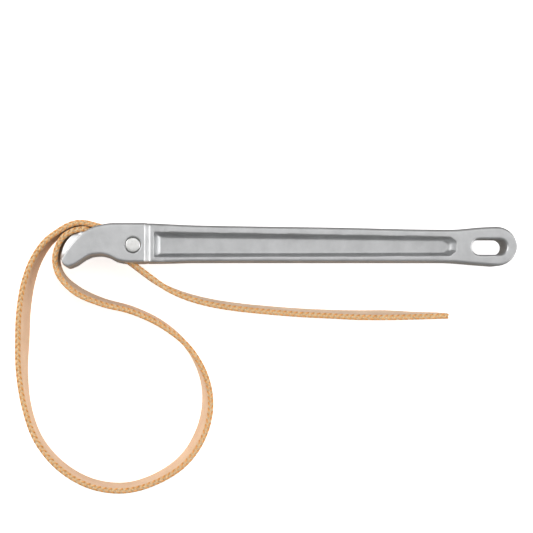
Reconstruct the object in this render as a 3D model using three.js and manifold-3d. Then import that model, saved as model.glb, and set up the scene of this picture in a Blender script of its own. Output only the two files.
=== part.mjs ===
// A strap wrench: a one-piece forked handle, a steel pin across the fork, and a woven strap.
// The strap is sewn round the pin, makes a loop, wraps the beak of the handle, runs back through
// the fork below the pin and leaves it as a free tail.
//
// Millimetres, +Z up. The wrench lies on its side: +X runs from the head to the hanging end.
// The origin is on the pin's axis, in the plane of the head's lower face.

import * as THREE from "three";
import { mergeVertices } from "three/addons/utils/BufferGeometryUtils.js";
import Module from "manifold-3d";

const wasm = await Module();
wasm.setup();

// Handle, across its thickness.
const HEAD_WIDTH = 37.5;
const MID_Z = HEAD_WIDTH / 2;
const CHEEK_THICKNESS = 4.5;
const FORK_HALF = MID_Z - CHEEK_THICKNESS;
const EDGE_ROUND = 1.6;

// Half thickness of the handle at stations along X, with straight slopes between them.
const HALF_THICKNESS = [
  [-60, MID_Z], [7.5, MID_Z], [12, 14.1], [15, 13.6], [21, 11.1], [214, 9], [260, 9],
];

// Beak tip: a round nose. Hanging end: half an ellipse.
const TIP = { x: -41.5, y: -9.9, radius: 4.6 };
const END = { x: 238, y: -0.4, length: 13.5, height: 12.9 };

// The handle's upper and lower outlines between the two round ends.
const UPPER_OUTLINE = [
  [-45.5, -7.6], [-38, 2.5], [-31, 9], [-23, 12.7], [-13, 14.3], [11, 14.3], [43, 13.2],
  [135, 11.8], [207, 10.5], [230, 12.2], [238, 12.5],
];
const LOWER_OUTLINE = [
  [-41.5, -14.5], [-37, -12.6], [-31, -8.6], [-26, -6.6], [-21, -6.2], [-16, -7.2],
  [-9, -10.4], [-3, -11.3], [19, -11.3], [43, -10.8], [204, -10.9], [230, -12.7], [238, -13.3],
];

// Recess in each side of the beam: its outline at the web and at its mouth. The walls stand
// square above the mouth's level.
const WEB_HALF = 2.5;
const RECESS_MOUTH_AT = 12;
const RECESS_CLEAR_AT = 16;
const RECESS_FLOOR = [
  [19.6, -4.7], [204, -4.2], [206.4, -2], [206.4, 1.6], [204, 3.8], [19.6, 5.7],
];
const RECESS_MOUTH = [
  [13.6, -7.4], [208, -6.8], [212.3, -3.4], [212.3, 2.8], [208, 5.8], [13.6, 8.7],
];

// Slot for hanging the wrench up.
const HANGING_SLOT = { x: 233.4, y: -0.8, halfStraight: 6.4, radius: 5.05, bevel: 0.9 };

// Pin, and its hole through both cheeks.
const PIN_RADIUS = 4.7625;
const PIN_CHAMFER = 0.5;
const BORE_RADIUS = 5.05;
const BORE_FLARE = 0.5;

// Strap.
const STRAP_WIDTH = 27;
const STRAP_HALF = 1.85;
const STRAP_Z = (HEAD_WIDTH - STRAP_WIDTH) / 2;
const GAP = 0.3;

// Sewn eye: one skived ply round the pin, lapped on the underside of the outer run.
const EYE_CLEARANCE = 0.15;
const EYE_PLY = 2.5;
const EYE_RADIUS = PIN_RADIUS + EYE_CLEARANCE + EYE_PLY / 2;
const EYE_TO = new THREE.Vector2(-26.62, 13.7);
const EYE_LENGTH = 29;
const EYE_FULL_AT = 13;
const LAP_FROM_ANGLE = THREE.MathUtils.degToRad(-160);
const LAP_END = 22;
const LAP_SKIVED_END = 27;
const LAP_SKIVED_PLY = 0.6;
const SEAM_AT = [11.5, 15.5, 19.5];
const SEAM_SIZE = { along: 1, proud: 0.6, across: 23 };

// Straight run of the free strap through the fork: its centreline lies square to THROAT_NORMAL.
const THROAT_NORMAL = new THREE.Vector2(0.6, 0.8);
const THROAT_OFFSET = -9.62;
const WRAP = { x: -32.4, y: 4.8, radius: 6, turn: 0.72 };
const FORK_BACK_X = 10.3;
const FORK_SLOT_SIZE = 80;

// Nose of the web that the strap wraps, from the tip up to the wrap's round.
const NOSE = [[-46.9, -8.9], [-46, -3.6], [-43.6, 1.8], [-39.8, 6.2], [-36.2, 7.6]];
const WEB_SIDE_OVERLAP = 1.5;
const WEB_TIP_X = -45.6;
const WEB_EDGE_STEPS = 26;
const WEB_EDGE_INSET = 0.05;
const WEB_HEEL_X = -5.6;

// Strap routes, laid out by hand. Each row: x and y of the upper edge's centre, how far the lower
// edge leans to the left of the route, and how far the strap has dropped towards the table.
const LOOP_ROUTE = [
  [EYE_TO.x, EYE_TO.y, 0, 0], [-31, 14.7, 0, 0], [-36, 14.8, 0, 0], [-42, 13.1, 0, 0],
  [-49, 9, 0.5, 0.5], [-57, 3, 1.5, 1], [-65, -8, 2.5, 2], [-71, -23, 3.5, 3],
  [-74.5, -42, 4, 4], [-75.5, -62, 4, 5], [-75, -82, 2.5, 5.25], [-71, -106, 0.5, 5.25],
  [-63, -128, 0, 5.25], [-48, -146, 0, 5.25], [-28, -157.5, 0, 5.25], [-6, -160.5, 0, 5.25],
  [15, -155, 0.5, 5.25], [34, -143, 1.5, 5.25], [46, -126, 2.5, 5.25], [51, -106, 2.5, 5.25],
  [48, -86, 1.5, 5], [37, -67, 0, 4.5], [20, -53, -1.5, 4], [0, -43.5, -2, 3.5],
  [-21, -38, -2.5, 2.5], [-38, -30.5, -3, 1.5], [-48.2, -19.5, -1.5, 1], [-50.8, -9, -0.5, 0.5],
  [-48.8, -0.2, 0, 0], [-44.8, 6, 0, 0], [-39.4, 9.3, 0, 0], [-33.9, 10.6, 0, 0],
];
const TAIL_ROUTE = [
  [12, -21, 0, 0], [22, -28, 1, 0.5], [35, -34, 2, 1], [51, -38.5, 2.5, 2],
  [70, -41.5, 2.5, 3], [90, -43.5, 2.5, 4], [109, -45, 2.5, 5], [129, -46, 2.5, 5.25],
  [150, -47, 3, 5.25], [171, -47, 3, 5.25], [190, -46.5, 1.5, 5.25], [206.5, -46, 0.5, 5.25],
];

// Bends of the tail: a gap on each side of each pivot lets the stiff lengths turn. The first is at
// the start of TAIL_ROUTE, and the second at its row TAIL_SPLIT.
const BEND_GAP = 0.7;
const CURL_GAP = 1.3;
const TAIL_SPLIT = 6;

// Sections along each length of strap.
const LOOP_STEPS = 156;
const TAIL_STEPS = 32;
const TAIL_TIP_STEPS = 28;

// Materials.
const METAL = new THREE.MeshStandardMaterial({ color: 0xbfc1c2, roughness: 0.42, metalness: 0.9 });
const STEEL = new THREE.MeshStandardMaterial({ color: 0xd9d8d4, roughness: 0.3, metalness: 1 });
const WEBBING = new THREE.MeshStandardMaterial({ color: 0xe0a878, roughness: 0.9, metalness: 0 });
const THREAD = new THREE.MeshStandardMaterial({ color: 0xe9dcc4, roughness: 0.8, metalness: 0 });

// ---- helpers ----

// A closed surface through sections of equal length, each counterclockwise seen from the end.
function loft(sections) {
  const count = sections[0].length;
  const positions = sections.flat().flatMap((point) => [point.x, point.y, point.z]);
  const index = [];
  for (let k = 0; k + 1 < sections.length; k += 1) {
    for (let i = 0; i < count; i += 1) {
      const a = k * count + i;
      const b = k * count + (i + 1) % count;
      index.push(a, b, b + count, a, b + count, a + count);
    }
  }
  const last = (sections.length - 1) * count;
  for (let i = 1; i + 1 < count; i += 1) {
    index.push(0, i + 1, i);
    index.push(last, last + i, last + i + 1);
  }
  const geometry = new THREE.BufferGeometry();
  geometry.setAttribute("position", new THREE.Float32BufferAttribute(positions, 3));
  geometry.setIndex(index);
  return geometry;
}

function toSolid(geometry) {
  const bare = geometry.clone();
  bare.deleteAttribute("normal");
  bare.deleteAttribute("uv");
  const merged = mergeVertices(bare, 1e-4);
  return new wasm.Manifold(new wasm.Mesh({
    numProp: 3,
    vertProperties: merged.attributes.position.array,
    triVerts: Uint32Array.from(merged.index.array),
  }));
}

function toGeometry(solid) {
  const mesh = solid.getMesh();
  const geometry = new THREE.BufferGeometry();
  geometry.setAttribute("position", new THREE.BufferAttribute(mesh.vertProperties, 3));
  geometry.setIndex(new THREE.BufferAttribute(mesh.triVerts, 1));
  return geometry;
}

// Height at x on a smooth curve through the points, which never overshoots between them.
function heightOn(points, x) {
  const slope = (k) => (points[k + 1][1] - points[k][1]) / (points[k + 1][0] - points[k][0]);
  const turn = (k) => {
    if (k === 0) return slope(0);
    if (k === points.length - 1) return slope(k - 1);
    const before = slope(k - 1);
    const after = slope(k);
    return before * after <= 0 ? 0 : (2 * before * after) / (before + after);
  };
  let k = 0;
  while (k < points.length - 2 && x > points[k + 1][0]) k += 1;
  const width = points[k + 1][0] - points[k][0];
  const t = THREE.MathUtils.clamp((x - points[k][0]) / width, 0, 1);
  const t2 = t * t;
  const t3 = t2 * t;
  return (2 * t3 - 3 * t2 + 1) * points[k][1] + (t3 - 2 * t2 + t) * width * turn(k)
    + (3 * t2 - 2 * t3) * points[k + 1][1] + (t3 - t2) * width * turn(k + 1);
}

function halfThickness(x) {
  let k = 0;
  while (k < HALF_THICKNESS.length - 2 && x > HALF_THICKNESS[k + 1][0]) k += 1;
  const [x0, h0] = HALF_THICKNESS[k];
  const [x1, h1] = HALF_THICKNESS[k + 1];
  return THREE.MathUtils.lerp(h0, h1, (x - x0) / (x1 - x0));
}

function endHeight(x) {
  return END.height * Math.sqrt(Math.max(0, 1 - ((x - END.x) / END.length) ** 2));
}

function tipHeight(x) {
  return Math.sqrt(Math.max(0, TIP.radius ** 2 - (x - TIP.x) ** 2));
}

function upperY(x) {
  if (x > END.x) return END.y + endHeight(x);
  return x < UPPER_OUTLINE[0][0] ? TIP.y + tipHeight(x) : heightOn(UPPER_OUTLINE, x);
}

function lowerY(x) {
  if (x > END.x) return END.y - endHeight(x);
  return x < LOWER_OUTLINE[0][0] ? TIP.y - tipHeight(x) : heightOn(LOWER_OUTLINE, x);
}

function spaced(from, to, count) {
  return Array.from({ length: count }, (unused, i) => from + ((to - from) * i) / count);
}

// ---- handle ----

function handleStations() {
  const quarter = Math.PI / 2;
  const tip = spaced(0.2, quarter, 5).map((angle) => TIP.x - TIP.radius * Math.cos(angle));
  const end = spaced(quarter, 0.1, 12).map((angle) => END.x + END.length * Math.cos(angle));
  return [
    ...tip, ...spaced(TIP.x, -6, 24), -6, 0, 7.5, 12, 15, 21,
    ...spaced(30, 200, 12), ...spaced(200, END.x, 9), ...end,
    END.x + END.length * Math.cos(0.1),
  ];
}

// Cross-section of the handle at x: a rectangle with rounded corners.
function handleSection(x) {
  const top = upperY(x);
  const bottom = lowerY(x);
  const half = halfThickness(x);
  const round = Math.min(EDGE_ROUND, (top - bottom) * 0.35);
  const corners = [
    [top - round, MID_Z + half - round, 0], [bottom + round, MID_Z + half - round, 1],
    [bottom + round, MID_Z - half + round, 2], [top - round, MID_Z - half + round, 3],
  ];
  return corners.flatMap(([y, z, quarter]) => [0, 0.5, 1].map((part) => {
    const angle = (quarter + part) * (Math.PI / 2);
    return new THREE.Vector3(x, y + round * Math.cos(angle), z + round * Math.sin(angle));
  }));
}

function forkSlot() {
  const slot = new THREE.BoxGeometry(FORK_SLOT_SIZE, FORK_SLOT_SIZE, 2 * FORK_HALF);
  slot.translate(FORK_BACK_X - FORK_SLOT_SIZE / 2, 0, MID_Z);
  return slot;
}

// The web between the cheeks: the strap wraps its nose and passes behind its straight back.
function forkWeb() {
  const clear = STRAP_HALF + GAP;
  const round = WRAP.radius - clear;
  const back = THROAT_OFFSET - clear;
  const shape = new THREE.Shape();
  shape.moveTo(WEB_HEEL_X, (back - THROAT_NORMAL.x * WEB_HEEL_X) / THROAT_NORMAL.y);
  shape.absarc(WRAP.x, WRAP.y, round, THROAT_NORMAL.angle(), Math.PI * 0.6, false);
  shape.splineThru(NOSE.slice().reverse().map(([x, y]) => new THREE.Vector2(x, y)));
  for (const x of spaced(WEB_TIP_X, WEB_HEEL_X, WEB_EDGE_STEPS)) {
    shape.lineTo(x, lowerY(x) + WEB_EDGE_INSET);
  }
  shape.lineTo(WEB_HEEL_X, lowerY(WEB_HEEL_X) + WEB_EDGE_INSET);
  const depth = 2 * (FORK_HALF + WEB_SIDE_OVERLAP);
  const web = new THREE.ExtrudeGeometry(shape, { depth, bevelEnabled: false, curveSegments: 8 });
  web.translate(0, 0, MID_Z - depth / 2);
  return web;
}

function flat(outline, z) {
  return outline.map(([x, y]) => new THREE.Vector3(x, y, z));
}

function upperRecess() {
  return loft([
    flat(RECESS_FLOOR, MID_Z + WEB_HALF), flat(RECESS_MOUTH, MID_Z + RECESS_MOUTH_AT),
    flat(RECESS_MOUTH, MID_Z + RECESS_CLEAR_AT),
  ]);
}

function lowerRecess() {
  return loft([
    flat(RECESS_MOUTH, MID_Z - RECESS_CLEAR_AT), flat(RECESS_MOUTH, MID_Z - RECESS_MOUTH_AT),
    flat(RECESS_FLOOR, MID_Z - WEB_HALF),
  ]);
}

function obround(radius, z) {
  const { x, y, halfStraight } = HANGING_SLOT;
  const steps = Array.from({ length: 11 }, (unused, i) => -Math.PI / 2 + (Math.PI * i) / 10);
  const side = (hand) => steps.map((angle) => [
    x + hand * (halfStraight + radius * Math.cos(angle)), y + hand * radius * Math.sin(angle),
  ]);
  return flat([...side(1), ...side(-1)], z);
}

function hangingSlot() {
  const half = halfThickness(HANGING_SLOT.x);
  const { radius, bevel } = HANGING_SLOT;
  return loft([
    obround(radius + 2 * bevel, MID_Z - half - bevel), obround(radius, MID_Z - half + bevel),
    obround(radius, MID_Z + half - bevel), obround(radius + 2 * bevel, MID_Z + half + bevel),
  ]);
}

// A body of revolution about the pin's axis, from rows of radius and height.
function turned(profile, segments) {
  const points = profile.map(([radius, z]) => new THREE.Vector2(radius, z));
  return new THREE.LatheGeometry(points, segments).rotateX(Math.PI / 2);
}

function pinBore() {
  return turned([
    [0, -1], [BORE_RADIUS + 3 * BORE_FLARE, -1], [BORE_RADIUS, BORE_FLARE],
    [BORE_RADIUS, HEAD_WIDTH - BORE_FLARE], [BORE_RADIUS + 3 * BORE_FLARE, HEAD_WIDTH + 1],
    [0, HEAD_WIDTH + 1],
  ], 40);
}

function makeHandle() {
  const body = toSolid(loft(handleStations().map(handleSection)));
  const forked = body.subtract(toSolid(forkSlot())).add(toSolid(forkWeb()));
  const cuts = [pinBore(), upperRecess(), lowerRecess(), hangingSlot()];
  return toGeometry(cuts.reduce((solid, cut) => solid.subtract(toSolid(cut)), forked));
}

function makePin() {
  return turned([
    [0, 0], [PIN_RADIUS - PIN_CHAMFER, 0], [PIN_RADIUS, PIN_CHAMFER],
    [PIN_RADIUS, HEAD_WIDTH - PIN_CHAMFER], [PIN_RADIUS - PIN_CHAMFER, HEAD_WIDTH],
    [0, HEAD_WIDTH],
  ], 40);
}

// ---- strap ----

// Frame of the outer run where it leaves the pin: along the run, and square to it.
function eyeFrame() {
  const turn = Math.acos(EYE_RADIUS / EYE_TO.length());
  const leave = EYE_TO.angle() - turn;
  const square = new THREE.Vector2(Math.cos(leave), Math.sin(leave));
  const along = new THREE.Vector2(-square.y, square.x);
  const at = (distance, offset) => square.clone().multiplyScalar(EYE_RADIUS + offset)
    .addScaledVector(along, distance);
  return { leave, along, square, at };
}

// Where the ply that comes off the pin's round at LAP_FROM_ANGLE meets a line beside the outer run.
function lapMeets(frame, radius, offset) {
  const off = new THREE.Vector2(Math.cos(LAP_FROM_ANGLE), Math.sin(LAP_FROM_ANGLE));
  const heading = new THREE.Vector2(off.y, -off.x);
  const start = off.multiplyScalar(radius);
  const reach = (EYE_RADIUS + offset - start.dot(frame.square)) / heading.dot(frame.square);
  return start.addScaledVector(heading, reach);
}

function makeEye() {
  const frame = eyeFrame();
  const outer = EYE_RADIUS + EYE_PLY / 2;
  const inner = EYE_RADIUS - EYE_PLY / 2;
  const lapFace = -STRAP_HALF - EYE_PLY;
  const shape = new THREE.Shape();
  shape.setFromPoints([
    frame.at(EYE_LENGTH, -STRAP_HALF), frame.at(EYE_LENGTH, STRAP_HALF),
    frame.at(EYE_FULL_AT, STRAP_HALF),
  ]);
  shape.absarc(0, 0, outer, frame.leave, LAP_FROM_ANGLE, true);
  for (const point of [
    lapMeets(frame, outer, lapFace), frame.at(LAP_END, lapFace),
    frame.at(LAP_SKIVED_END, -STRAP_HALF - LAP_SKIVED_PLY),
    frame.at(LAP_SKIVED_END, -STRAP_HALF),
  ]) {
    shape.lineTo(point.x, point.y);
  }
  const corner = lapMeets(frame, inner, -EYE_PLY / 2);
  const hole = new THREE.Path();
  hole.absarc(0, 0, inner, LAP_FROM_ANGLE, frame.leave, false);
  hole.lineTo(corner.x, corner.y);
  shape.holes.push(hole);
  const eye = new THREE.ExtrudeGeometry(shape, {
    depth: STRAP_WIDTH, bevelEnabled: false, curveSegments: 28,
  });
  return eye.translate(0, 0, STRAP_Z);
}

function makeSeam(distance) {
  const frame = eyeFrame();
  const { along, proud, across } = SEAM_SIZE;
  const centre = frame.at(distance, STRAP_HALF + GAP + proud / 2);
  const seam = new THREE.BoxGeometry(along, proud, across);
  seam.rotateZ(frame.along.angle());
  return seam.translate(centre.x, centre.y, MID_Z);
}

// Upper and lower edge curves of a strap route.
function edgeCurves(route) {
  const top = STRAP_Z + STRAP_WIDTH;
  const upper = route.map(([x, y, , drop]) => new THREE.Vector3(x, y, top - drop));
  const lower = route.map(([x, y, lean, drop], k) => {
    const before = upper[Math.max(0, k - 1)];
    const after = upper[Math.min(route.length - 1, k + 1)];
    const heading = new THREE.Vector2(after.x - before.x, after.y - before.y).normalize();
    return new THREE.Vector3(x - lean * heading.y, y + lean * heading.x, STRAP_Z - drop);
  });
  return [upper, lower].map((points) => new THREE.CatmullRomCurve3(points, false, "centripetal"));
}

// A length of strap between two parameters of its route, each from 0 to 1.
function strapLength(route, from, to, steps) {
  const [upper, lower] = edgeCurves(route);
  const sections = [];
  for (let i = 0; i <= steps; i += 1) {
    const t = from + ((to - from) * i) / steps;
    const high = upper.getPoint(t);
    const low = lower.getPoint(t);
    const heading = upper.getTangent(t).add(lower.getTangent(t)).setZ(0).normalize();
    const side = new THREE.Vector3(-heading.y, heading.x, 0).multiplyScalar(STRAP_HALF);
    sections.push([
      low.clone().sub(side), low.clone().add(side), high.clone().add(side), high.clone().sub(side),
    ]);
  }
  return sections;
}

// Section of the straight run or the wrap, at a point with a heading, both level.
function levelSection(x, y, heading) {
  const side = new THREE.Vector2(-heading.y, heading.x).multiplyScalar(STRAP_HALF);
  const top = STRAP_Z + STRAP_WIDTH;
  return [
    new THREE.Vector3(x - side.x, y - side.y, STRAP_Z),
    new THREE.Vector3(x + side.x, y + side.y, STRAP_Z),
    new THREE.Vector3(x + side.x, y + side.y, top),
    new THREE.Vector3(x - side.x, y - side.y, top),
  ];
}

function wrapSections() {
  const end = THROAT_NORMAL.angle();
  return spaced(end + WRAP.turn, end, 6).concat(end).map((angle) => levelSection(
    WRAP.x + WRAP.radius * Math.cos(angle), WRAP.y + WRAP.radius * Math.sin(angle),
    new THREE.Vector2(Math.sin(angle), -Math.cos(angle)),
  ));
}

function makeLoop() {
  return loft([...strapLength(LOOP_ROUTE, 0, 1, LOOP_STEPS), ...wrapSections()]);
}

function makeThroat() {
  const heading = new THREE.Vector2(THROAT_NORMAL.y, -THROAT_NORMAL.x);
  const start = new THREE.Vector2(WRAP.x, WRAP.y).addScaledVector(THROAT_NORMAL, WRAP.radius)
    .addScaledVector(heading, 2 * GAP);
  const [bendX, bendY] = TAIL_ROUTE[0];
  const end = new THREE.Vector2(bendX, bendY).addScaledVector(heading, -BEND_GAP);
  return loft([start, end].map((point) => levelSection(point.x, point.y, heading)));
}

// Parameter of TAIL_ROUTE at the second bend, moved along the route by a distance.
function curlParameter(distance) {
  const length = edgeCurves(TAIL_ROUTE)[0].getLength();
  return TAIL_SPLIT / (TAIL_ROUTE.length - 1) + distance / length;
}

function makeTail() {
  const start = 2 * (curlParameter(BEND_GAP) - curlParameter(0));
  return loft(strapLength(TAIL_ROUTE, start, curlParameter(-CURL_GAP), TAIL_STEPS));
}

function makeTailTip() {
  return loft(strapLength(TAIL_ROUTE, curlParameter(CURL_GAP), 1, TAIL_TIP_STEPS));
}

// ---- assembly ----

const wrench = new THREE.Group();

function addPart(name, geometry, material) {
  const mesh = new THREE.Mesh(geometry, material);
  mesh.name = name;
  wrench.add(mesh);
}

addPart("handle", makeHandle(), METAL);
addPart("strap_pin", makePin(), STEEL);
addPart("strap_eye", makeEye(), WEBBING);
addPart("strap_loop", makeLoop(), WEBBING);
addPart("strap_throat", makeThroat(), WEBBING);
addPart("strap_tail", makeTail(), WEBBING);
addPart("strap_tail_tip", makeTailTip(), WEBBING);
SEAM_AT.forEach((distance, i) => addPart(`lap_seam_${i + 1}`, makeSeam(distance), THREAD));

export default wrench;
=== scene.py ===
import math

import bpy
import numpy as np
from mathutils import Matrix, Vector


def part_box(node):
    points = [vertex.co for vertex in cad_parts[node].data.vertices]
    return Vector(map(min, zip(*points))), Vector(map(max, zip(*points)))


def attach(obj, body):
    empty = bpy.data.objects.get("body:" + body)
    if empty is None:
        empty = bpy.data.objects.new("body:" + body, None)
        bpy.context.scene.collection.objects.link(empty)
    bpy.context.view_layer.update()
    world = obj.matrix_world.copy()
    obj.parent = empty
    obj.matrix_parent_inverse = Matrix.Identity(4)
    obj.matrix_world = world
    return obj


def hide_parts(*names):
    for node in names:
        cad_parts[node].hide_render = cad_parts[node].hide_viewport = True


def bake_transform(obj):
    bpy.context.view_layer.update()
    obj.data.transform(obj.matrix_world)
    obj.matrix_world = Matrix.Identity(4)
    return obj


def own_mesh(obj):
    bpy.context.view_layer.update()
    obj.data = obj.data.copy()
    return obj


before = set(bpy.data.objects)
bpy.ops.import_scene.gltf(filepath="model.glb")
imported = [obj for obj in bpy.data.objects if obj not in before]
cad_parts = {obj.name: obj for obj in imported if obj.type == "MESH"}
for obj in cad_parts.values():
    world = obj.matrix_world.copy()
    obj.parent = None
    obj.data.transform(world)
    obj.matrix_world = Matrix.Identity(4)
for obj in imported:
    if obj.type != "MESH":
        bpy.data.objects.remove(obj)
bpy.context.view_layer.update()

# Strap wrench, the visual model. Shapes are worked out in millimetres, in the frame of the CAD,
# and become metres where a mesh is made.

MM = 0.001
QUARTER = math.pi / 2

# ---- sizes shared with the CAD ----

PIN_LOW, PIN_HIGH = [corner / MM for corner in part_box("strap_pin")]
HEAD_WIDTH = PIN_HIGH.z - PIN_LOW.z
PIN_RADIUS = (PIN_HIGH.x - PIN_LOW.x) / 2
MID_Z = HEAD_WIDTH / 2
CHEEK_THICKNESS = 4.5
FORK_HALF = MID_Z - CHEEK_THICKNESS
FORK_BACK_X = 10.3

# Half thickness at stations along X. The step behind the head has more of them than in the CAD.
HALF_THICKNESS = [
    (-60, MID_Z), (7.2, MID_Z), (8.1, 17.9), (9.5, 16.1), (10.9, 14.5), (12.2, 13.9),
    (14.5, 13.6), (17.5, 12.5), (21, 11.1), (214, 9), (260, 9),
]
EDGE_ROUND = 1.6
TIP_X, TIP_Y, TIP_RADIUS = -41.5, -9.9, 4.6
END_X, END_Y, END_LENGTH, END_HEIGHT = 238, -0.4, 13.5, 12.9
UPPER_OUTLINE = [
    (-45.5, -7.6), (-38, 2.5), (-31, 9), (-23, 12.7), (-13, 14.3), (11, 14.3), (43, 13.2),
    (135, 11.8), (207, 10.5), (230, 12.2), (238, 12.5),
]
LOWER_OUTLINE = [
    (-41.5, -14.5), (-37, -12.6), (-31, -8.6), (-26, -6.6), (-21, -6.2), (-16, -7.2),
    (-9, -10.4), (-3, -11.3), (19, -11.3), (43, -10.8), (204, -10.9), (230, -12.7), (238, -13.3),
]
WEB_HALF = 2.5
RECESS_TOP = 12
RECESS_FLOOR = [
    (19.6, -4.7), (204, -4.2), (206.4, -2), (206.4, 1.6), (204, 3.8), (19.6, 5.7),
]
RECESS_MOUTH = [
    (13.6, -7.4), (208, -6.8), (212.3, -3.4), (212.3, 2.8), (208, 5.8), (13.6, 8.7),
]
SLOT_X, SLOT_Y, SLOT_STRAIGHT, SLOT_RADIUS, SLOT_BEVEL = 233.4, -0.8, 6.4, 5.05, 0.9
BORE_RADIUS, BORE_FLARE = 5.05, 0.5

STRAP_WIDTH = 27
STRAP_HALF = 1.85
STRAP_Z = (HEAD_WIDTH - STRAP_WIDTH) / 2
STRAP_GAP = 0.3
EYE_PLY = 2.5
EYE_CLEARANCE = 0.15
EYE_RADIUS = PIN_RADIUS + EYE_CLEARANCE + EYE_PLY / 2
EYE_TO = (-26.62, 13.7)
EYE_FULL_AT = 13
LAP_FROM_ANGLE = math.radians(-160)
LAP_END, LAP_SKIVED_END = 22, 27
SEAM_AT = (11.5, 15.5, 19.5)
THROAT_NORMAL = np.array((0.6, 0.8))
THROAT_OFFSET = -9.62
WRAP_CENTRE, WRAP_RADIUS = np.array((-32.4, 4.8)), 6

# Nose of the web, and the line where its chamfer, which the CAD leaves out, meets the cheeks.
NOSE = [(-36.2, 7.6), (-39.8, 6.2), (-43.6, 1.8), (-46, -3.6), (-46.9, -8.9)]
NOSE_RIM = [(-33.8, 6.6), (-36.6, 3.9), (-40.7, -1.1), (-43.8, -5.2), (-45.6, -9)]
WEB_HEEL_X = -5.6

# Strap routes: x and y of the upper edge's centre, the lower edge's lean to the left of the route,
# and how far the strap has dropped towards the table.
LOOP_ROUTE = [
    (*EYE_TO, 0, 0), (-31, 14.7, 0, 0), (-36, 14.8, 0, 0), (-42, 13.1, 0, 0),
    (-49, 9, 0.5, 0.5), (-57, 3, 1.5, 1), (-65, -8, 2.5, 2), (-71, -23, 3.5, 3),
    (-74.5, -42, 4, 4), (-75.5, -62, 4, 5), (-75, -82, 2.5, 5.25), (-71, -106, 0.5, 5.25),
    (-63, -128, 0, 5.25), (-48, -146, 0, 5.25), (-28, -157.5, 0, 5.25),
    (-6, -160.5, 0, 5.25), (15, -155, 0.5, 5.25), (34, -143, 1.5, 5.25), (46, -126, 2.5, 5.25),
    (51, -106, 2.5, 5.25), (48, -86, 1.5, 5), (37, -67, 0, 4.5), (20, -53, -1.5, 4),
    (0, -43.5, -2, 3.5), (-21, -38, -2.5, 2.5), (-38, -30.5, -3, 1.5), (-48.2, -19.5, -1.5, 1),
    (-50.8, -9, -0.5, 0.5), (-48.8, -0.2, 0, 0), (-44.8, 6, 0, 0), (-39.4, 9.3, 0, 0),
    (-33.9, 10.6, 0, 0),
]
TAIL_ROUTE = [
    (12, -21, 0, 0), (22, -28, 1, 0.5), (35, -34, 2, 1), (51, -38.5, 2.5, 2),
    (70, -41.5, 2.5, 3), (90, -43.5, 2.5, 4), (109, -45, 2.5, 5), (129, -46, 2.5, 5.25),
    (150, -47, 3, 5.25), (171, -47, 3, 5.25), (190, -46.5, 1.5, 5.25), (206.5, -46, 0.5, 5.25),
]

# ---- mesh settings, and fine detail that the CAD leaves out ----

HANDLE_VOXEL = 0.42
FORK_SLOT_REACH, FORK_SLOT_HALF = 90, 40
WEB_RIM, WEB_CHAMFER_FROM = 17.9, 15.8
RECESS_RISE = 1.3
BEAM_CROWN = 1.15
EYE_RING_ROWS = 16
WRAP_TURN = 0.5
CURVE_STEPS = 40
STRAP_ROW_STEP = 0.6
STRAP_COLUMNS = 46
END_CREASE = math.radians(70)
PLAIT_MARGIN = 0.8
CAP_UV_REACH = 1.5
RIB_PITCH = 2.25
RIB_HEIGHT = 0.09
RIB_WAVE = 3.8
PLAIT_PITCH = 11.1
PLAIT_SWING = 1.3
PLAIT_RISE = 0.3
PLAIT_YARNS = 3
YARN_WIDE, YARN_DEEP = 0.56, 0.36
YARN_SIDES = 8
YARN_STEP = 0.42
FRAY_YARNS = 30
SEAM_MARGIN, SEAM_STITCHES, STITCH_SIDES = 2, 8, 10

# ---- mesh helpers ----


def new_object(name, vertices, faces, uv=None, smooth=True):
    """An object from millimetre vertices and faces, with an optional UV for each face corner."""
    mesh = bpy.data.meshes.new(name)
    mesh.from_pydata((np.asarray(vertices, float) * MM).tolist(), [], faces)
    if uv is not None:
        layer = mesh.uv_layers.new(name="UVMap")
        layer.data.foreach_set("uv", np.asarray(uv, np.float32).ravel())
    mesh.polygons.foreach_set("use_smooth", [smooth] * len(mesh.polygons))
    mesh.update()
    obj = bpy.data.objects.new(name, mesh)
    bpy.context.scene.collection.objects.link(obj)
    return obj


def loft(name, sections):
    """A closed surface through equal sections, each counterclockwise seen from the end."""
    count = len(sections[0])
    faces = []
    for k in range(len(sections) - 1):
        for i in range(count):
            a = k * count + i
            b = k * count + (i + 1) % count
            faces.append((a, b, b + count, a + count))
    last = (len(sections) - 1) * count
    faces.append(tuple(reversed(range(count))))
    faces.append(tuple(range(last, last + count)))
    return new_object(name, np.concatenate(sections), faces)


def apply_modifiers(obj):
    """Bakes the object's modifiers into its mesh."""
    graph = bpy.context.evaluated_depsgraph_get()
    mesh = bpy.data.meshes.new_from_object(obj.evaluated_get(graph))
    obj.modifiers.clear()
    old = obj.data
    obj.data = mesh
    bpy.data.meshes.remove(old)


def combine(obj, other, operation):
    """Joins another closed object to obj, or cuts it away, and removes the other."""
    step = obj.modifiers.new("combine", "BOOLEAN")
    step.operation = operation
    step.solver = "EXACT"
    step.object = other
    apply_modifiers(obj)
    bpy.data.objects.remove(other)


def join(name, objects):
    """One object from several meshes, with each mesh's materials kept."""
    with bpy.context.temp_override(active_object=objects[0], selected_editable_objects=objects):
        bpy.ops.object.join()
    objects[0].name = name
    objects[0].data.name = name
    return objects[0]


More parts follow.
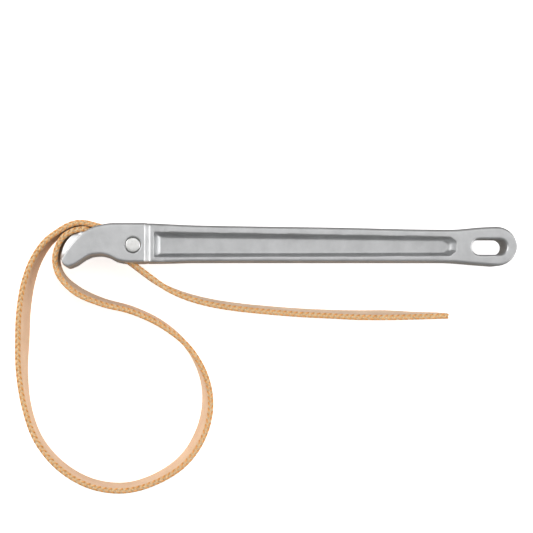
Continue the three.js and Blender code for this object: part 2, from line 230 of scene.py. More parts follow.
def height_on(points, x):
    """Height at x on a smooth curve through the points, which never overshoots between them."""
    def slope(k):
        return (points[k + 1][1] - points[k][1]) / (points[k + 1][0] - points[k][0])

    def turn(k):
        if k == 0:
            return slope(0)
        if k == len(points) - 1:
            return slope(k - 1)
        before, after = slope(k - 1), slope(k)
        return 0 if before * after <= 0 else 2 * before * after / (before + after)

    k = 0
    while k < len(points) - 2 and x > points[k + 1][0]:
        k += 1
    width = points[k + 1][0] - points[k][0]
    t = min(1, max(0, (x - points[k][0]) / width))
    return (
        (2 * t**3 - 3 * t**2 + 1) * points[k][1] + (t**3 - 2 * t**2 + t) * width * turn(k)
        + (3 * t**2 - 2 * t**3) * points[k + 1][1] + (t**3 - t**2) * width * turn(k + 1)
    )


# ---- materials ----


class Nodes:
    """A short way to write a material's node tree."""

    def __init__(self, name):
        self.material = bpy.data.materials.new(name)
        self.material.use_nodes = True
        self.tree = self.material.node_tree
        self.shader = self.tree.nodes["Principled BSDF"]

    def add(self, kind, inputs=None, **settings):
        node = self.tree.nodes.new(kind)
        for key, value in settings.items():
            setattr(node, key, value)
        for key, value in (inputs or {}).items():
            if isinstance(value, bpy.types.NodeSocket):
                self.tree.links.new(value, node.inputs[key])
            else:
                node.inputs[key].default_value = value
        return node

    def ramp(self, factor, stops):
        node = self.add("ShaderNodeValToRGB", {"Fac": factor})
        elements = node.color_ramp.elements
        while len(elements) < len(stops):
            elements.new(0.5)
        for element, (position, color) in zip(elements, stops):
            element.position = position
            element.color = color if len(color) == 4 else (*color, 1)
        return node.outputs["Color"]

    def math(self, operation, a, b=0.0):
        node = self.add("ShaderNodeMath", {0: a, 1: b}, operation=operation)
        return node.outputs[0]

    def noise(self, vector, scale, detail=3.0, roughness=0.5):
        inputs = {"Vector": vector, "Scale": scale, "Detail": detail, "Roughness": roughness}
        return self.add("ShaderNodeTexNoise", inputs).outputs["Fac"]

    def mix(self, factor, a, b):
        node = self.add("ShaderNodeMix", data_type="RGBA")
        for index, value in ((0, factor), (6, a), (7, b)):
            if isinstance(value, bpy.types.NodeSocket):
                self.tree.links.new(value, node.inputs[index])
            elif index and len(value) == 3:
                node.inputs[index].default_value = (*value, 1)
            else:
                node.inputs[index].default_value = value
        return node.outputs[2]

    def bump(self, height, strength, distance, normal=None):
        inputs = {"Height": height, "Strength": strength, "Distance": distance}
        if normal is not None:
            inputs["Normal"] = normal
        return self.add("ShaderNodeBump", inputs).outputs["Normal"]

    def drive(self, **sockets):
        """Sets or links the shader's inputs by name, with _ for a space."""
        for key, value in sockets.items():
            socket = self.shader.inputs[key.replace("_", " ")]
            if isinstance(value, bpy.types.NodeSocket):
                self.tree.links.new(value, socket)
            else:
                socket.default_value = value


def cast_metal():
    """Satin cast metal: fine grain, slow mottling and a painted highlight along its convex edges.
    """
    m = Nodes("cast_metal")
    at = m.add("ShaderNodeTexCoord").outputs["Object"]
    mottle = m.noise(at, 90, 4, 0.6)
    grain = m.noise(at, 1400, 2, 0.6)
    pits = m.noise(at, 420, 3, 0.55)
    tone = m.ramp(mottle, [(0.3, (0.52, 0.525, 0.53)), (0.7, (0.62, 0.625, 0.63))])
    # Painted highlight: convex edges, found by pointiness, are mixed towards a paler grey.
    edge_highlight = m.ramp(m.add("ShaderNodeNewGeometry").outputs["Pointiness"],
                  [(0.5, (0, 0, 0)), (0.56, (1, 1, 1))])
    color = m.mix(m.math("MULTIPLY", edge_highlight, 0.35), tone, (0.8, 0.8, 0.8))
    rough = m.add("ShaderNodeMapRange", {"Value": pits, "To Min": 0.36, "To Max": 0.48}).outputs[0]
    fine = m.bump(grain, 0.12, 0.0002)
    normal = m.bump(pits, 0.1, 0.0006, fine)
    m.drive(Base_Color=color, Metallic=0.8, Roughness=rough, Normal=normal)
    return m.material


def pin_steel():
    """Bright steel with faint turning marks round its axis."""
    m = Nodes("pin_steel")
    at = m.add("ShaderNodeTexCoord").outputs["Object"]
    rings = m.add("ShaderNodeTexWave", {"Vector": at, "Scale": 900, "Distortion": 0.4},
                  wave_type="RINGS", rings_direction="Z").outputs["Fac"]
    smear = m.noise(at, 500, 3)
    color = m.ramp(smear, [(0.3, (0.68, 0.68, 0.66)), (0.7, (0.8, 0.8, 0.79))])
    rough = m.add("ShaderNodeMapRange", {"Value": smear, "To Min": 0.3, "To Max": 0.42}).outputs[0]
    m.drive(Base_Color=color, Metallic=0.9, Roughness=rough, Normal=m.bump(rings, 0.08, 0.0002))
    return m.material


def woven_face():
    """Flat sides of the webbing: a tight plain weave, paler in the middle than at the borders."""
    m = Nodes("woven_face")
    uv = m.add("ShaderNodeUVMap", uv_map="UVMap").outputs["UV"]
    parts = m.add("ShaderNodeSeparateXYZ", {"Vector": uv})
    along, across = parts.outputs["X"], parts.outputs["Y"]
    weft = m.math("SINE", m.math("MULTIPLY", along, 2 * math.pi / 1.3))
    warp = m.math("SINE", m.math("MULTIPLY", across, 2 * math.pi / 0.9))
    weave = m.math("MULTIPLY", weft, warp)
    at = m.add("ShaderNodeTexCoord").outputs["Object"]
    drift = m.noise(at, 60, 4, 0.6)
    fuzz = m.noise(at, 2200, 3, 0.7)
    tone = m.ramp(drift, [(0.3, (0.76, 0.5, 0.31)), (0.7, (0.9, 0.65, 0.44))])
    knots = m.ramp(weave, [(0.2, (0.66, 0.4, 0.21)), (0.75, (0.95, 0.72, 0.52))])
    color = m.mix(0.35, tone, knots)
    edge = m.math("ABSOLUTE", m.math("SUBTRACT", across, STRAP_WIDTH / 2))
    border = m.ramp(m.math("DIVIDE", edge, STRAP_WIDTH / 2),
                    [(0.8, (0, 0, 0)), (0.97, (1, 1, 1))])
    color = m.mix(m.math("MULTIPLY", border, 0.6), color, (0.68, 0.39, 0.18))
    normal = m.bump(weave, 0.5, 0.00025, m.bump(fuzz, 0.3, 0.00012))
    m.drive(Base_Color=color, Roughness=0.88, Normal=normal, Sheen_Weight=0.25,
            Sheen_Roughness=0.5, Specular_IOR_Level=0.25)
    return m.material


def edge_yarn():
    """Yarn of the plaited edges: orange, with a painted highlight in cream where it crosses over
    and painted shade in brown where it turns back down.
    """
    m = Nodes("edge_yarn")
    uv = m.add("ShaderNodeUVMap", uv_map="UVMap").outputs["UV"]
    along = m.add("ShaderNodeSeparateXYZ", {"Vector": uv}).outputs["X"]
    swing = m.math("ABSOLUTE", m.math("SINE", m.math("MULTIPLY", along, 2 * math.pi / PLAIT_PITCH)))
    at = m.add("ShaderNodeTexCoord").outputs["Object"]
    drift = m.noise(at, 330, 4, 0.7)
    where = m.math("ADD", swing, m.math("MULTIPLY", m.math("SUBTRACT", drift, 0.5), 0.9))
    # Painted highlight and shade: low values give cream where the yarn crosses on top, high values
    # brown where it turns back down; the noise adds random tone.
    color = m.ramp(where, [
        (0.0, (1.0, 0.77, 0.47)), (0.32, (1.0, 0.65, 0.32)), (0.8, (1.0, 0.48, 0.16)),
        (1.0, (0.82, 0.36, 0.1)),
    ])
    fuzz = m.noise(at, 2400, 3, 0.7)
    m.drive(Base_Color=color, Roughness=0.85, Normal=m.bump(fuzz, 0.5, 0.0002), Sheen_Weight=0.15,
            Specular_IOR_Level=0.25)
    return m.material


def strand(name, low, high):
    """Twisted yarn."""
    m = Nodes(name)
    uv = m.add("ShaderNodeUVMap", uv_map="UVMap").outputs["UV"]
    parts = m.add("ShaderNodeSeparateXYZ", {"Vector": uv})
    turn = m.math("ADD", m.math("MULTIPLY", parts.outputs["X"], 5.2),
                  m.math("MULTIPLY", parts.outputs["Y"], 2 * math.pi * 2))
    ply = m.math("SINE", turn)
    at = m.add("ShaderNodeTexCoord").outputs["Object"]
    drift = m.noise(at, 240, 4, 0.65)
    color = m.ramp(drift, [(0.33, low), (0.66, high)])
    fuzz = m.noise(at, 2600, 3, 0.7)
    normal = m.bump(ply, 0.6, 0.0002, m.bump(fuzz, 0.35, 0.00012))
    m.drive(Base_Color=color, Roughness=0.85, Normal=normal, Sheen_Weight=0.2,
            Specular_IOR_Level=0.25)
    return m.material


METAL = cast_metal()
STEEL = pin_steel()
FACE = woven_face()
CORE = strand("core_yarn", (0.86, 0.52, 0.24), (0.98, 0.76, 0.5))
EDGE_YARN = edge_yarn()
THREAD = strand("sewing_thread", (0.78, 0.68, 0.5), (0.9, 0.82, 0.66))

# ---- handle ----


def half_thickness(x):
    stations, halves = zip(*HALF_THICKNESS)
    return float(np.interp(x, stations, halves))


def upper_y(x):
    if x > END_X:
        return END_Y + END_HEIGHT * math.sqrt(max(0, 1 - ((x - END_X) / END_LENGTH) ** 2))
    if x < UPPER_OUTLINE[0][0]:
        return TIP_Y + math.sqrt(max(0, TIP_RADIUS**2 - (x - TIP_X) ** 2))
    return height_on(UPPER_OUTLINE, x)


def lower_y(x):
    if x > END_X:
        return END_Y - END_HEIGHT * math.sqrt(max(0, 1 - ((x - END_X) / END_LENGTH) ** 2))
    if x < LOWER_OUTLINE[0][0]:
        return TIP_Y - math.sqrt(max(0, TIP_RADIUS**2 - (x - TIP_X) ** 2))
    return height_on(LOWER_OUTLINE, x)


def handle_section(x):
    """Cross-section of the handle: a rectangle with rounded corners."""
    top, bottom, half = upper_y(x), lower_y(x), half_thickness(x)
    drop = min(EDGE_ROUND, (top - bottom) * 0.35)
    spread = drop * float(np.interp(x, (9, 16), (1, BEAM_CROWN)))
    corners = [
        (top - spread, MID_Z + half - drop), (bottom + spread, MID_Z + half - drop),
        (bottom + spread, MID_Z - half + drop), (top - spread, MID_Z - half + drop),
    ]
    points = []
    for quarter, (y, z) in enumerate(corners):
        for angle in np.linspace(quarter, quarter + 1, 7) * QUARTER:
            points.append((x, y + spread * math.cos(angle), z + drop * math.sin(angle)))
    return np.array(points)


def handle_stations():
    tip = TIP_X - TIP_RADIUS * np.cos(np.linspace(0.12, QUARTER, 12))
    end = END_X + END_LENGTH * np.cos(np.linspace(QUARTER, 0.06, 26))
    middle = np.arange(TIP_X + 0.8, END_X - 0.4, 0.8)
    kinks = [station for station, half in HALF_THICKNESS[1:-1]]
    return np.unique(np.round(np.concatenate([tip, middle, kinks, end]), 4))


def fork_slot():
    """Everything between the cheeks, closed by a flat back behind the eye."""
    front = FORK_BACK_X - FORK_SLOT_REACH
    outline = [
        (front, -FORK_SLOT_HALF), (FORK_BACK_X, -FORK_SLOT_HALF),
        (FORK_BACK_X, FORK_SLOT_HALF), (front, FORK_SLOT_HALF),
    ]
    return loft("slot", [flat(outline, MID_Z - FORK_HALF), flat(outline, MID_Z + FORK_HALF)])


def spline(points, steps):
    """A smooth open curve through 2-D points."""
    rows = np.array(points, float)
    curve = []
    for k in range(len(rows) - 1):
        before = rows[max(0, k - 1)]
        after = rows[min(len(rows) - 1, k + 2)]
        for t in np.linspace(0, 1, steps, endpoint=False):
            a = 2 * rows[k]
            b = rows[k + 1] - before
            c = 2 * before - 5 * rows[k] + 4 * rows[k + 1] - after
            d = -before + 3 * rows[k] - 3 * rows[k + 1] + after
            curve.append(0.5 * (a + b * t + c * t * t + d * t**3))
    curve.append(rows[-1])
    return np.array(curve)


def web_outline(share):
    """Outline of the web between the cheeks. At share 1 its nose is drawn back to their rims."""
    clear = STRAP_HALF + STRAP_GAP
    heel_y = (THROAT_OFFSET - clear - THROAT_NORMAL[0] * WEB_HEEL_X) / THROAT_NORMAL[1]
    start = math.atan2(THROAT_NORMAL[1], THROAT_NORMAL[0])
    arc = [
        WRAP_CENTRE + (WRAP_RADIUS - clear) * np.array((math.cos(a), math.sin(a)))
        for a in np.linspace(start, math.pi * 0.6, 10)
    ]
    nose = (1 - share) * spline(NOSE, 6) + share * spline(NOSE_RIM, 6)
    below = [(x, lower_y(x) + 0.02) for x in np.linspace(-45.4, WEB_HEEL_X, 60)]
    return [(WEB_HEEL_X, heel_y), *arc, *nose, *below]


def fork_web():
    """The web, with a chamfer from its nose up to the cheeks' rims."""
    levels = [(-WEB_RIM, 1), (-WEB_CHAMFER_FROM, 0), (WEB_CHAMFER_FROM, 0), (WEB_RIM, 1)]
    return loft("web", [flat(web_outline(share), MID_Z + z) for z, share in levels])


def flat(outline, z):
    return np.array([(x, y, z) for x, y in outline])


def rounded(outline, radius, steps=5):
    """A convex outline with its corners rounded off."""
    rows = np.array(outline, float)
    points = []
    for k, corner in enumerate(rows):
        before = rows[k - 1] - corner
        after = rows[(k + 1) % len(rows)] - corner
        reach = min(radius, 0.45 * np.linalg.norm(before), 0.45 * np.linalg.norm(after))
        a = corner + before / np.linalg.norm(before) * reach
        b = corner + after / np.linalg.norm(after) * reach
        for t in np.linspace(0, 1, steps):
            points.append((1 - t) ** 2 * a + 2 * t * (1 - t) * corner + t * t * b)
    return points


def recess(side):
    """The recess in one side of the beam. Its walls curve up out of the floor."""
    floor = rounded(RECESS_FLOOR, 0.9)
    mouth = rounded(RECESS_MOUTH, 0.9)
    sections = []
    for reach in (0, 0.12, 0.3, 0.5, 0.68, 0.83, 0.94, 1):
        rise = 1 - math.sqrt(1 - (0.97 * reach) ** 2)
        outline = [f + (np.array(m) - f) * reach for f, m in zip(floor, mouth)]
        height = WEB_HALF + rise * RECESS_RISE * (RECESS_TOP - WEB_HALF)
        sections.append(flat(outline, MID_Z + side * height))
    sections.append(flat(mouth, MID_Z + side * (RECESS_TOP + 6)))
    return loft("recess", sections if side > 0 else sections[::-1])


def obround(radius, z):
    angles = np.linspace(-QUARTER, QUARTER, 25)
    rounds = [(SLOT_STRAIGHT + radius * math.cos(a), radius * math.sin(a)) for a in angles]
    right = [(SLOT_X + x, SLOT_Y + y) for x, y in rounds]
    left = [(SLOT_X - x, SLOT_Y - y) for x, y in rounds]
    return flat(right + left, z)


def hanging_slot():
    half = half_thickness(SLOT_X)
    return loft("hanging", [
        obround(SLOT_RADIUS + 2 * SLOT_BEVEL, MID_Z - half - SLOT_BEVEL),
        obround(SLOT_RADIUS, MID_Z - half + SLOT_BEVEL),
        obround(SLOT_RADIUS, MID_Z + half - SLOT_BEVEL),
        obround(SLOT_RADIUS + 2 * SLOT_BEVEL, MID_Z + half + SLOT_BEVEL),
    ])


def turned(name, profile, segments):
    """A body of revolution about the pin's axis, from rows of radius and height."""
    angles = np.arange(segments) * 2 * math.pi / segments
    return loft(name, [
        np.column_stack((radius * np.cos(angles), radius * np.sin(angles), np.full(segments, z)))
        for radius, z in profile
    ])


def pin_bore():
    flared = BORE_RADIUS + 3 * BORE_FLARE
    return turned("bore", [
        (flared, -1), (BORE_RADIUS, BORE_FLARE), (BORE_RADIUS, HEAD_WIDTH - BORE_FLARE),
        (flared, HEAD_WIDTH + 1),
    ], 72)


def make_handle():
    handle = loft("handle_casting", [handle_section(x) for x in handle_stations()])
    combine(handle, fork_slot(), "DIFFERENCE")
    combine(handle, fork_web(), "UNION")
    for cutter in (pin_bore(), recess(1), recess(-1), hanging_slot()):
        combine(handle, cutter, "DIFFERENCE")
    skin = handle.modifiers.new("skin", "REMESH")
    skin.mode = "VOXEL"
    skin.voxel_size = HANDLE_VOXEL * MM
    skin.use_smooth_shade = True
    soften = handle.modifiers.new("soften", "SMOOTH")
    soften.factor = 0.5
    soften.iterations = 4
    apply_modifiers(handle)
    handle.data.materials.clear()
    handle.data.materials.append(METAL)
    return handle


def make_pin():
    rim = PIN_RADIUS
    low = [(rim - 2.5, 0), (rim - 0.55, 0.02), (rim - 0.2, 0.12), (rim, 0.4)]
    high = [(radius, HEAD_WIDTH - z) for radius, z in reversed(low)]
    pin = turned("cross_pin", low + high, 96)
    pin.data.materials.append(STEEL)
    return pin


# ---- strap ----


def eye_at(distance, offset):
    """A point beside the outer run: distance from where it leaves the pin, offset square to it."""
    reach = math.hypot(*EYE_TO)
    leave = math.atan2(EYE_TO[1], EYE_TO[0]) - math.acos(EYE_RADIUS / reach)
    square = np.array((math.cos(leave), math.sin(leave)))
    along = np.array((-square[1], square[0]))
    return square * (EYE_RADIUS + offset) + along * distance, leave, square


def eye_rows():
    """Centreline rows of the lap, the ring round the pin and the start of the outer run."""
    lap = -STRAP_HALF - EYE_PLY / 2
    off = np.array((math.cos(LAP_FROM_ANGLE), math.sin(LAP_FROM_ANGLE)))
    heading = np.array((off[1], -off[0]))
    leave, square = eye_at(0, 0)[1:]
    reach = (EYE_RADIUS + lap - EYE_RADIUS * off @ square) / (heading @ square)
    meet = off * EYE_RADIUS + heading * reach
    skived = ((LAP_SKIVED_END, 0.35), (LAP_END, 1.2), (17, 1.25))
    rows = [(*eye_at(s, lap)[0], half) for s, half in skived]
    rows.append((*(0.6 * meet + 0.4 * eye_at(17, lap)[0]), 1.25))
    rows.append((*(0.5 * meet + 0.5 * off * EYE_RADIUS), 1.25))
    for angle in np.linspace(LAP_FROM_ANGLE, leave, EYE_RING_ROWS):
        rows.append((EYE_RADIUS * math.cos(angle), EYE_RADIUS * math.sin(angle), EYE_PLY / 2))
    for s in (5, 9, EYE_FULL_AT, 19, 25):
        half = np.interp(s, (0, EYE_FULL_AT), (EYE_PLY / 2, STRAP_HALF))
        thicker = (STRAP_HALF - EYE_PLY / 2) * min(1, s / EYE_FULL_AT)
        rows.append((*eye_at(s, half - EYE_PLY / 2 - thicker)[0], half))
    return [(x, y, 0, 0, half) for x, y, half in rows]


def wrap_rows():
    """Rows round the top of the web and down the straight run to the start of the tail."""
    end = math.atan2(THROAT_NORMAL[1], THROAT_NORMAL[0])
    rows = []
    for angle in np.linspace(end + WRAP_TURN, end, 4):
        x, y = WRAP_CENTRE + WRAP_RADIUS * np.array((math.cos(angle), math.sin(angle)))
        rows.append((x, y, 0, 0, STRAP_HALF))
    x, y = rows[-1][:2]
    tail_x, tail_y = TAIL_ROUTE[0][:2]
    for share in (0.12, 0.25, 0.4, 0.6, 0.8, 0.92):
        rows.append((x + (tail_x - x) * share, y + (tail_y - y) * share, 0, 0, STRAP_HALF))
    return rows


def catmull(points, steps):
    """Centripetal Catmull-Rom curve through the rows, with a number of steps for each span."""
    rows = np.vstack([2 * points[0] - points[1], points, 2 * points[-1] - points[-2]])
    out = []
    for k in range(1, len(rows) - 2):
        p0, p1, p2, p3 = rows[k - 1:k + 3]
        pairs = ((p0, p1), (p1, p2), (p2, p3))
        d0, d1, d2 = (max(1e-4, np.linalg.norm(b[:3] - a[:3])) ** 0.5 for a, b in pairs)
        m1 = ((p1 - p0) / d0 - (p2 - p0) / (d0 + d1) + (p2 - p1) / d1) * d1
        m2 = ((p2 - p1) / d1 - (p3 - p1) / (d1 + d2) + (p3 - p2) / d2) * d1
        for t in np.linspace(0, 1, steps, endpoint=False):
            t2, t3 = t * t, t**3
            out.append(
                (2 * t3 - 3 * t2 + 1) * p1 + (t3 - 2 * t2 + t) * m1
                + (3 * t2 - 2 * t3) * p2 + (t3 - t2) * m2
            )
    out.append(rows[-2])
    return np.array(out)


class Strap:
    """The whole webbing strip, from the skived end of its lap to the free end of its tail."""

    def __init__(self):
        loop = [(*row, STRAP_HALF) for row in LOOP_ROUTE]
        tail = [(*row, STRAP_HALF) for row in TAIL_ROUTE]
        rows = np.array(eye_rows() + loop + wrap_rows() + tail, float)
        ahead = np.vstack([rows[1:, :2], rows[-1:, :2]]) - np.vstack([rows[:1, :2], rows[:-1, :2]])
        ahead /= np.linalg.norm(ahead, axis=1)[:, None]
        upper = np.column_stack((rows[:, 0], rows[:, 1], STRAP_Z + STRAP_WIDTH - rows[:, 3]))
        lower = np.column_stack((
            rows[:, 0] - rows[:, 2] * ahead[:, 1], rows[:, 1] + rows[:, 2] * ahead[:, 0],
            STRAP_Z - rows[:, 3],
        ))
        dense = catmull(np.column_stack((upper, lower, rows[:, 4])), CURVE_STEPS)
        self.upper, self.lower, self.half = dense[:, :3], dense[:, 3:6], dense[:, 6]
        middle = (self.upper + self.lower) / 2
        steps = np.linalg.norm(np.diff(middle[:, :2], axis=0), axis=1)
        self.s = np.concatenate([[0], np.cumsum(steps)])
        heading = np.gradient(middle[:, :2], axis=0)
        heading /= np.linalg.norm(heading, axis=1)[:, None]
        self.side = np.column_stack((-heading[:, 1], heading[:, 0]))
        self.length = self.s[-1]

    def at_row(self, rows_before):
        """Distance along the strap at a numbered row of the whole route."""
        return self.s[rows_before * CURVE_STEPS]

    def sample(self, s, table):
        return np.column_stack([np.interp(s, self.s, column) for column in table.T])

    def frame(self, s):
        """Lower and upper edge centres, sideways direction and half thickness at distances s."""
        side = self.sample(s, self.side)
        side /= np.linalg.norm(side, axis=1)[:, None]
        side = np.column_stack((side, np.zeros(len(s))))
        half = np.interp(s, self.s, self.half)
        return self.sample(s, self.lower), self.sample(s, self.upper), side, half


STRAP = Strap()


def body_profile():
    """Once round the strip's section: share of the width, share of the half thickness, outward."""
    across = np.linspace(0, 1, STRAP_COLUMNS)
    bulge = np.sin(np.linspace(0, math.pi, 6)[1:-1])
    swing = np.cos(np.linspace(0, math.pi, 6)[1:-1])
    right = [(a, -1, -1) for a in across]
    top = [(1 + 0.012 * b, -c, 0) for b, c in zip(bulge, swing)]
    left = [(a, 1, 1) for a in across[::-1]]
    bottom = [(-0.012 * b, c, 0) for b, c in zip(bulge, swing)]
    return np.array(right + top + left + bottom)


def ribbed_points(s, share, profile):
    """Section points at distances s: two ribbed flat sides with rounded borders between them."""
    low, high, side, half = STRAP.frame(s)
    across = share * STRAP_WIDTH
    rib = 0.5 - 0.5 * np.cos(2 * math.pi * across / RIB_PITCH)
    row = np.floor(across / RIB_PITCH)
    wave = 0.75 + 0.25 * np.cos(2 * math.pi * s[:, None] / RIB_WAVE + math.pi * row[None, :])
    lift = RIB_HEIGHT * (rib[None, :] * wave - 0.9) * np.abs(profile[:, 2])[None, :]
    reach = half[:, None] * profile[None, :, 1] + lift * profile[None, :, 2]
    points = low[:, None, :] + (high - low)[:, None, :] * share[None, :, None]
    return points + side[:, None, :] * reach[..., None]


def roughen_end(points, profile):
    """Pushes the strip's last section in and out unevenly, and the one before it by less."""
    rng = np.random.default_rng(7)
    side = STRAP.frame(np.array([STRAP.length]))[2][0]
    heading = np.array((side[1], -side[0], 0))
    jitter = rng.uniform(-0.7, 0.4, len(profile)) - 0.3 * profile[:, 1]
    points[-1] += heading * jitter[:, None]
    points[-2] += heading * jitter[:, None] * 0.45


def strap_body(name, start, end, ragged=False):
    """The woven strip itself, without the plaits along its edges."""
    count = max(4, round((end - start) / STRAP_ROW_STEP))
    s = np.linspace(start, end, count + 1)
    profile = body_profile()
    inset = PLAIT_MARGIN / STRAP_WIDTH
    share = inset + profile[:, 0] * (1 - 2 * inset)
    across = share * STRAP_WIDTH
    points = ribbed_points(s, share, profile)
    if ragged:
        roughen_end(points, profile)
    n = len(profile)
    faces, uv = [], []
    for k in range(count):
        for i in range(n):
            j = (i + 1) % n
            faces.append((k * n + i, k * n + j, (k + 1) * n + j, (k + 1) * n + i))
            uv += [(s[k], across[i]), (s[k], across[j])]
            uv += [(s[k + 1], across[j]), (s[k + 1], across[i])]
    centre = len(points.reshape(-1, 3))
    vertices = np.vstack([points.reshape(-1, 3), points[0].mean(0), points[-1].mean(0)])
    for i in range(n):
        j = (i + 1) % n
        faces.append((centre, j, i))
        uv += [(s[0] - CAP_UV_REACH, STRAP_WIDTH / 2), (s[0], across[j]), (s[0], across[i])]
        faces.append((centre + 1, count * n + i, count * n + j))
        uv += [(s[-1] + CAP_UV_REACH, STRAP_WIDTH / 2), (s[-1], across[i]), (s[-1], across[j])]
    body = new_object(name, vertices, faces, uv)
    body.data.materials.append(FACE)
    body.data.materials.append(CORE)
    on_edge = (profile[:, 2] == 0) | (np.roll(profile[:, 2], -1) == 0)
    body.data.polygons.foreach_set("material_index", [*np.tile(on_edge, count), *[1] * 2 * n])
    body.data.set_sharp_from_angle(angle=END_CREASE)
    return body


def yarn_tube(name, centre, up, wide, deep, along, material):
    """A yarn of oval section along a line. Its UV holds the distance along and the way round."""
    ahead = np.gradient(centre, axis=0)
    ahead /= np.linalg.norm(ahead, axis=1)[:, None]
    across = np.cross(up, ahead)
    across /= np.linalg.norm(across, axis=1)[:, None]
    lift = np.cross(ahead, across)
    n = YARN_SIDES
    angles = np.arange(n) * 2 * math.pi / n
    offset = across[:, None, :] * (wide[:, None] * np.cos(angles))[..., None]
    offset = offset + lift[:, None, :] * (deep[:, None] * np.sin(angles))[..., None]
    rings = centre[:, None, :] + offset
    faces, uv = [], []
    for k in range(len(centre) - 1):
        for i in range(n):
            j = (i + 1) % n
            faces.append((k * n + i, k * n + j, (k + 1) * n + j, (k + 1) * n + i))
            uv += [(along[k], i / n), (along[k], (i + 1) / n)]
            uv += [(along[k + 1], (i + 1) / n), (along[k + 1], i / n)]
    last = (len(centre) - 1) * n
    faces.append(tuple(reversed(range(n))))
    faces.append(tuple(range(last, last + n)))
    uv += [(along[0], i / n) for i in reversed(range(n))] + [(along[-1], i / n) for i in range(n)]
    yarn = new_object(name, rings.reshape(-1, 3), faces, uv)
    yarn.data.materials.append(material)
    return yarn


def plait_yarn(start, end, edge, lane):
    """One of the yarns plaited along an edge. Edge is 1 above and -1 below."""
    s = np.linspace(start, end, max(4, round((end - start) / YARN_STEP)) + 1)
    low, high, side, half = STRAP.frame(s)
    up = (high - low) / np.linalg.norm(high - low, axis=1)[:, None]
    along = s + PLAIT_PITCH * lane / PLAIT_YARNS
    turn = 2 * math.pi * along / PLAIT_PITCH
    share = half / STRAP_HALF
    drop = 0.55 + 0.3 * np.sin(turn) ** 4 - PLAIT_RISE * np.sin(2 * turn)
    centre = (high if edge > 0 else low) - up * (edge * drop)[:, None]
    centre = centre + side * (PLAIT_SWING * share * np.sin(turn))[:, None]
    return yarn_tube("yarn", centre, up, YARN_WIDE * share, YARN_DEEP * share, along, EDGE_YARN)


def frayed_yarn(number, rng):
    """A short yarn end that sticks out of the cut end of the strap."""
    low, high, side = [row[0] for row in STRAP.frame(np.array([STRAP.length]))[:3]]
    ahead = np.array((side[1], -side[0], 0))
    up = (high - low) / np.linalg.norm(high - low)
    root = low + (high - low) * (number + 0.5) / FRAY_YARNS - ahead * 0.5
    root = root + side * rng.uniform(-1.3, 1.3)
    tip = ahead * rng.uniform(0.6, 1.5) + side * rng.uniform(-0.4, 0.4)
    tip = tip + up * rng.uniform(-0.4, 0.4)
    share = np.linspace(0, 1, 5)[:, None]
    sag = up * rng.uniform(-0.3, 0.3)
    centre = root + tip * share + sag * share * (1 - share)
    thin = np.linspace(0.42, 0.2, 5)
    material = EDGE_YARN if number % 3 else CORE
    along = PLAIT_PITCH * (0.1 + 0.15 * share[:, 0])
    return yarn_tube("fray", centre, np.tile(up, (5, 1)), thin, thin, along, material)


def strap_piece(name, start, end, ragged=False):
    """A length of the strap with the plaits of both its edges."""
    parts = [strap_body(name, start, end, ragged)]
    for edge in (1, -1):
        parts += [plait_yarn(start, end, edge, lane) for lane in range(PLAIT_YARNS)]
    if ragged:
        rng = np.random.default_rng(11)
        parts += [frayed_yarn(number, rng) for number in range(FRAY_YARNS)]
    piece = join(name, parts)
    return piece


def make_seam(number, distance):
    """A row of sewing thread across the lap: long stitches that dive in at both ends."""
    low_end = STRAP_Z + SEAM_MARGIN
    pitch = (STRAP_WIDTH - 2 * SEAM_MARGIN) / SEAM_STITCHES
    (x, y), _, square = eye_at(distance, STRAP_HALF)
    along = np.array((-square[1], square[0], 0))
    out = np.array((square[0], square[1], 0))
    angles = (np.arange(STITCH_SIDES) * 2 * math.pi / STITCH_SIDES)[:, None]
    ring = np.cos(angles) * along + np.sin(angles) * out
    parts = []
    for k in range(SEAM_STITCHES):
        rings = []
        for t in np.linspace(0, 1, 13):
            rise = math.sin(math.pi * t)
            centre = np.array((x, y, low_end + pitch * (k + 0.06 + 0.88 * t)))
            centre = centre + out * (0.45 * rise - 0.12)
            rings.append(centre + (0.16 + 0.3 * rise**0.5) * ring)
        stitch = loft("stitch", rings)
        stitch.data.uv_layers.new(name="UVMap")
        stitch.data.materials.append(THREAD)
        parts.append(stitch)
    seam = join(f"lap_seam_thread_{number}", parts)
    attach(seam, "loop")
    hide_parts(f"lap_seam_{number}")
    return seam


# ---- assembly ----

handle = make_handle()
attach(handle, "handle")
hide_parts("handle")

pin = make_pin()
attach(pin, "handle")
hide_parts("strap_pin")

# Rows of the whole route at which each portion starts, and the rows where the strap is divided.
LOOP_FIRST_ROW = len(eye_rows())
WRAP_FIRST_ROW = LOOP_FIRST_ROW + len(LOOP_ROUTE)
TAIL_FIRST_ROW = WRAP_FIRST_ROW + len(wrap_rows())
LOOP_START = STRAP.at_row(LOOP_FIRST_ROW + 4)
LOOP_END = STRAP.at_row(WRAP_FIRST_ROW - 2)
WRAP_END = STRAP.at_row(WRAP_FIRST_ROW + 5)
THROAT_END = STRAP.at_row(TAIL_FIRST_ROW - 1)
TAIL_END = STRAP.at_row(TAIL_FIRST_ROW + 4)

eye = strap_piece("webbing_eye", 0, LOOP_START)
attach(eye, "loop")
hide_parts("strap_eye")

loop = strap_piece("webbing_loop", LOOP_START, LOOP_END)
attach(loop, "loop")
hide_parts("strap_loop")
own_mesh(loop)

wrap = strap_piece("webbing_wrap", LOOP_END, WRAP_END)
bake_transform(wrap)

throat = strap_piece("webbing_throat", WRAP_END, THROAT_END)
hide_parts("strap_throat")
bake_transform(throat)

tail = strap_piece("webbing_tail", THROAT_END, TAIL_END)
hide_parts("strap_tail")
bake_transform(tail)

tail_tip = strap_piece("webbing_tail_tip", TAIL_END, STRAP.length, ragged=True)
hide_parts("strap_tail_tip")
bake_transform(tail_tip)

for number, distance in enumerate(SEAM_AT, start=1):
    make_seam(number, distance)

# ---- stage, light and camera ----


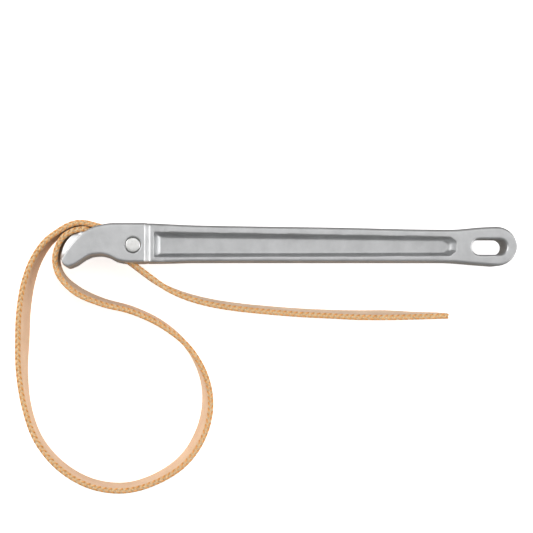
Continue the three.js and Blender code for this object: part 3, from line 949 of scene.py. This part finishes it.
def make_floor():
    bpy.ops.mesh.primitive_plane_add(size=8, location=(0, 0, -0.0002))
    floor = bpy.context.active_object
    floor.name = "floor"
    floor.visible_glossy = False
    m = Nodes("floor_white")
    m.drive(Base_Color=(0.93, 0.93, 0.93, 1), Roughness=0.9, Emission_Color=(1, 1, 1, 1),
            Emission_Strength=0.7)
    floor.data.materials.append(m.material)


def make_light(name, location, target, size, power):
    light = bpy.data.lights.new(name, "AREA")
    light.shape = "RECTANGLE"
    light.size, light.size_y = size
    light.energy = power
    lamp = bpy.data.objects.new(name, light)
    lamp.location = location
    lamp.rotation_euler = (Vector(target) - Vector(location)).to_track_quat("-Z", "Y").to_euler()
    lamp.visible_camera = False
    bpy.context.scene.collection.objects.link(lamp)


def make_world():
    """A pale room above and a darker, warmer one below."""
    world = bpy.data.worlds.new("studio")
    world.use_nodes = True
    nodes, links = world.node_tree.nodes, world.node_tree.links
    height = nodes.new("ShaderNodeSeparateXYZ")
    ramp = nodes.new("ShaderNodeValToRGB")
    direction = nodes.new("ShaderNodeTexCoord").outputs["Generated"]
    links.new(direction, height.inputs["Vector"])
    links.new(height.outputs["Z"], ramp.inputs["Fac"])
    below, above = ramp.color_ramp.elements
    below.position, below.color = 0.0, (0.17, 0.15, 0.13, 1)
    above.position, above.color = 0.12, (0.2, 0.2, 0.2, 1)
    links.new(ramp.outputs["Color"], nodes["Background"].inputs["Color"])
    bpy.context.scene.world = world


def make_camera():
    """Straight down, from above a point below the pin, shifted to frame the object."""
    camera = bpy.data.cameras.new("camera")
    camera.sensor_width = 36
    camera.lens = 81.73
    camera.shift_y = 0.0757
    camera.shift_x = 0.2508
    view = bpy.data.objects.new("camera", camera)
    view.location = (0, -0.04, MID_Z * MM + 0.8)
    bpy.context.scene.collection.objects.link(view)
    bpy.context.scene.camera = view


make_floor()
make_light("overhead", (0.09, 0.3, 1.3), (0.09, 0.0, 0), (1.8, 0.9), 6.2)
make_light("left", (-1.05, 0.45, 0.42), (0.0, -0.03, 0.02), (1.3, 0.7), 10.5)
make_light("right", (1.3, -0.05, 0.42), (0.1, -0.03, 0.02), (1.1, 0.7), 9.5)
make_world()
make_camera()
bpy.context.scene.view_settings.view_transform = "Standard"

bpy.context.view_layer.update()
